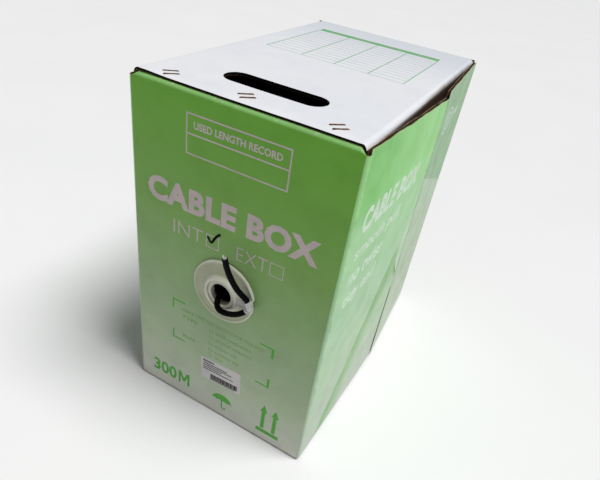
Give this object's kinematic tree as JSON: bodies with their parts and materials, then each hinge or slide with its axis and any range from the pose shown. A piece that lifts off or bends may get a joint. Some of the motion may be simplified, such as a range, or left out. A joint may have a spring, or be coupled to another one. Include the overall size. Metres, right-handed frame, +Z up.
{
  "type": "cable pull box",
  "caption": "Corrugated carton with a hand hole, holding a coil of network cable that pays out through a round flanged tube in its front.",
  "frame": {"origin": "centre of the carton's footprint, on the surface it stands on", "axes": "+Z up, front face with the payout flange towards -Y, right side towards +X"},
  "size_m": [0.2273, 0.3667, 0.3646],
  "materials": {
    "printed_board_front": "semi-gloss printed",
    "printed_board_back": "semi-gloss printed",
    "printed_board_side": "semi-gloss printed",
    "white_board": "satin coated",
    "kraft_board": "matte",
    "staple_wire": "copper-washed",
    "wound_cable": "satin",
    "label_paper": "satin coated",
    "white_plastic": "moulded, slightly translucent",
    "cable_jacket": "satin",
    "tie_tape": "crumpled film",
    "conductor_metal": "bare drawn wire"
  },
  "bodies": {
    "carton": {"front_panel": "printed_board_front", "back_panel": "printed_board_back", "top_panel": "white_board", "bottom_panel": "white_board", "joint_tab": "kraft_board", "joint_staples": "staple_wire", "inner_flap_right_upper": "white_board", "inner_flap_right_lower": "white_board", "inner_flap_left_upper": "white_board", "inner_flap_left_lower": "white_board", "cable_coil": "wound_cable", "product_label": "label_paper"},
    "right_front_flap": {"outer_flap_right_front": "printed_board_side"},
    "right_rear_flap": {"outer_flap_right_rear": "printed_board_side"},
    "left_front_flap": {"outer_flap_left_front": "printed_board_side"},
    "left_rear_flap": {"outer_flap_left_rear": "printed_board_side"},
    "payout": {"payout_flange": "white_plastic", "lock_ring": "white_plastic", "payout_tube": "white_plastic"},
    "cable_end": {"cable_tail": "cable_jacket", "cable_lead": "cable_jacket", "cable_tie": "tie_tape", "conductor_ends": "conductor_metal"}
  },
  "joints": [
    {"name": "right_front_fold", "type": "hinge", "parent": "carton", "child": "right_front_flap", "pos_m": [0.1075, -0.174, 0.18], "axis": [0, 0, -1], "range_deg": [-2.4, 175]},
    {"name": "right_rear_fold", "type": "hinge", "parent": "carton", "child": "right_rear_flap", "pos_m": [0.1075, 0.174, 0.18], "axis": [0, 0, 1], "range_deg": [-2.8, 175]},
    {"name": "left_front_fold", "type": "hinge", "parent": "carton", "child": "left_front_flap", "pos_m": [-0.1075, -0.174, 0.18], "axis": [0, 0, 1], "range_deg": [-1, 175]},
    {"name": "left_rear_fold", "type": "hinge", "parent": "carton", "child": "left_rear_flap", "pos_m": [-0.1075, 0.174, 0.18], "axis": [0, 0, -1], "range_deg": [-1.2, 175]},
    {"name": "payout_turn", "type": "hinge", "parent": "carton", "child": "payout", "pos_m": [0, -0.174, 0.1815], "axis": [0, -1, 0], "continuous": true},
    {"name": "cable_pull", "type": "slide", "parent": "payout", "child": "cable_end", "axis": [0, -1, 0], "range_m": [0, 0.06]}
  ]
}
